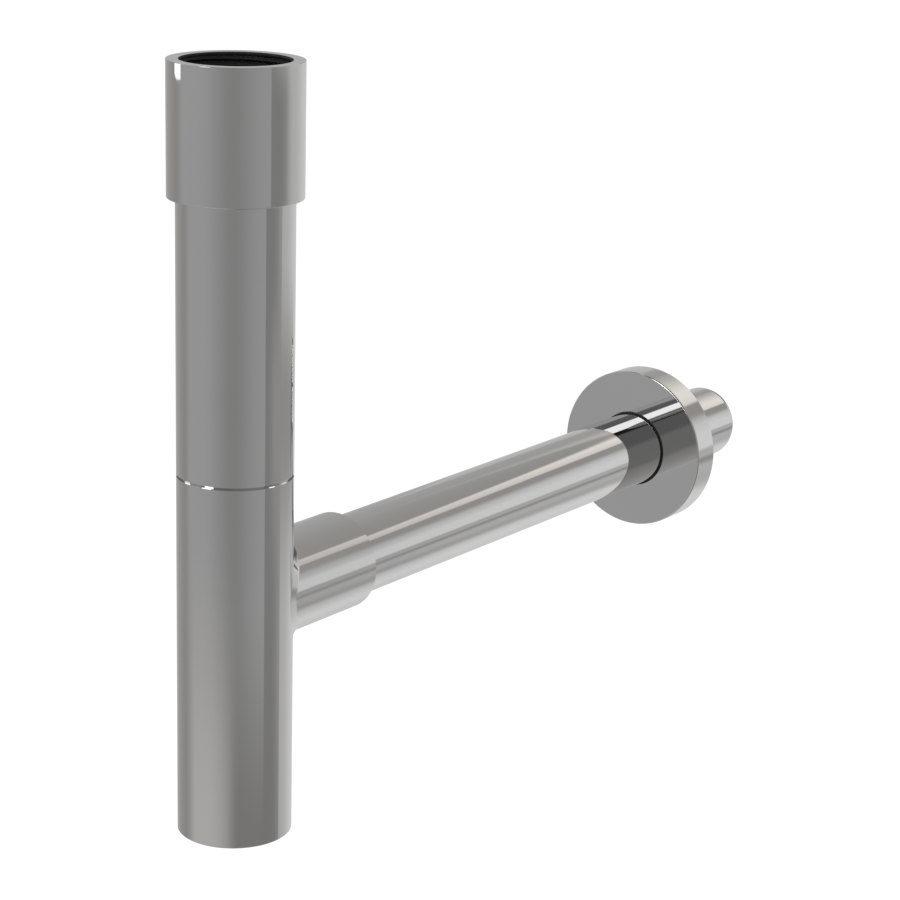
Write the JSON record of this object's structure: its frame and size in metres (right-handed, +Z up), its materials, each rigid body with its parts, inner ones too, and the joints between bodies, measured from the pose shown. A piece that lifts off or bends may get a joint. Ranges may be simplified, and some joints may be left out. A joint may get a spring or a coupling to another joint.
{
  "type": "basin trap",
  "caption": "Upright basin trap: long union nut, cover tube and closed lower tube in bright chrome, with a side outlet pipe and a round wall rosette.",
  "frame": {"origin": "on the upright tube's axis at the first full turn of the inlet thread, 1 mm below the union nut's top face", "axes": "+Z up along the upright tube, out of the union nut's mouth; +Y along the outlet pipe, towards the wall; +X to the right when looking at the wall"},
  "size_m": [0.07, 0.3605, 0.288],
  "materials": {
    "chrome": "polished chrome plate on brass",
    "brass": "turned brass, not plated",
    "black_plastic": "black moulded polypropylene",
    "white_plastic": "natural polyethylene",
    "rubber": "black sealing rubber"
  },
  "bodies": {
    "nut": {"union_nut": "chrome", "skirt_ring": "rubber"},
    "slip": {"slip_ring": "brass"},
    "inlet": {"dip_tube": "black_plastic", "inlet_gasket": "rubber"},
    "gland": {"neck_seal": "rubber", "pressure_washer": "white_plastic"},
    "trap_body": {"lower_body": "chrome", "gland_nut": "brass", "spigot_ring": "rubber", "seat_ring": "brass", "base_plate": "chrome"},
    "cover": {"cover_tube": "chrome"},
    "sleeve_rings": {"outlet_rings": "rubber"},
    "pipe": {"outlet_pipe": "chrome"},
    "grip": {"grip_ring": "rubber"},
    "wall_rosette": {"rosette": "chrome"}
  },
  "joints": [
    {"name": "nut_drop", "type": "slide", "parent": "nut", "child": "slip", "axis": [0, 0, 1], "range_m": [0, 0.003]},
    {"name": "nut_spin", "type": "hinge", "parent": "slip", "child": "inlet", "pos_m": [0, 0, -0.0147], "axis": [0, 0, 1], "continuous": true},
    {"name": "height_adjust", "type": "slide", "parent": "inlet", "child": "gland", "axis": [0, 0, 1], "range_m": [-0.006, 0.007]},
    {"name": "outlet_swivel", "type": "hinge", "parent": "gland", "child": "trap_body", "pos_m": [0, 0, -0.1592], "axis": [0, 0, 1], "continuous": true},
    {"name": "cover_lift", "type": "slide", "parent": "trap_body", "child": "cover", "axis": [0, 0, 1], "range_m": [0, 0.006]},
    {"name": "pipe_turn", "type": "hinge", "parent": "trap_body", "child": "sleeve_rings", "pos_m": [0, 0.05, -0.1969], "axis": [0, 1, 0], "continuous": true},
    {"name": "pipe_slide", "type": "slide", "parent": "sleeve_rings", "child": "pipe", "axis": [0, 1, 0], "range_m": [-0.007, 0.008]},
    {"name": "rosette_slide", "type": "slide", "parent": "pipe", "child": "grip", "axis": [0, 1, 0], "range_m": [-0.2, 0.048]},
    {"name": "rosette_turn", "type": "hinge", "parent": "grip", "child": "wall_rosette", "pos_m": [0, 0.275, -0.1969], "axis": [0, 1, 0], "continuous": true}
  ]
}
